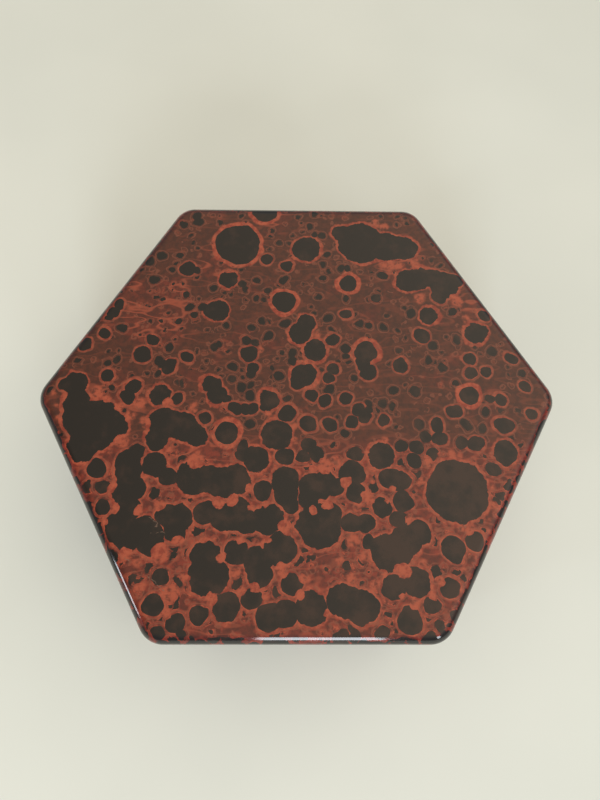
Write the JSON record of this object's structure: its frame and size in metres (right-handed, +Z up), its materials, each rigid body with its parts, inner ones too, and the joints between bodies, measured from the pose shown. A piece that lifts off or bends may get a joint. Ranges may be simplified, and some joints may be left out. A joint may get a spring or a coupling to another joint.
{
  "type": "hexagonal lidded box",
  "caption": "Hexagonal lacquered wooden box with a lift-off lid, a raised inner lip that locates the lid and a low foot ring.",
  "frame": {"origin": "middle of the footprint, on the surface that the box stands on", "axes": "+Z up, -Y out of the front side, +X towards a corner of the hexagon"},
  "size_m": [0.2684, 0.236, 0.0874],
  "materials": {
    "mottled_lacquer": "polished red and black mottled lacquer over wood",
    "black_lacquer": "semi-gloss black lacquer over wood",
    "bare_wood": "bare planed wood"
  },
  "bodies": {
    "box": {"box_wall_front": "mottled_lacquer", "box_wall_front_right": "mottled_lacquer", "box_wall_back_right": "mottled_lacquer", "box_wall_back": "mottled_lacquer", "box_wall_back_left": "mottled_lacquer", "box_wall_front_left": "mottled_lacquer", "lining_front": "black_lacquer", "lining_front_right": "black_lacquer", "lining_back_right": "black_lacquer", "lining_back": "black_lacquer", "lining_back_left": "black_lacquer", "lining_front_left": "black_lacquer", "foot_strip_front": "black_lacquer", "foot_strip_front_right": "black_lacquer", "foot_strip_back_right": "black_lacquer", "foot_strip_back": "black_lacquer", "foot_strip_back_left": "black_lacquer", "foot_strip_front_left": "black_lacquer", "base_panel": "black_lacquer", "box_mitre_tongues": "bare_wood"},
    "lid": {"lid_wall_front": "mottled_lacquer", "lid_wall_front_right": "mottled_lacquer", "lid_wall_back_right": "mottled_lacquer", "lid_wall_back": "mottled_lacquer", "lid_wall_back_left": "mottled_lacquer", "lid_wall_front_left": "mottled_lacquer", "lid_panel": "mottled_lacquer", "lid_mitre_tongues": "bare_wood"}
  },
  "joints": [
    {"name": "lid_lift", "type": "slide", "parent": "box", "child": "lid", "axis": [0, 0, 1], "range_m": [0, 0.12]}
  ]
}
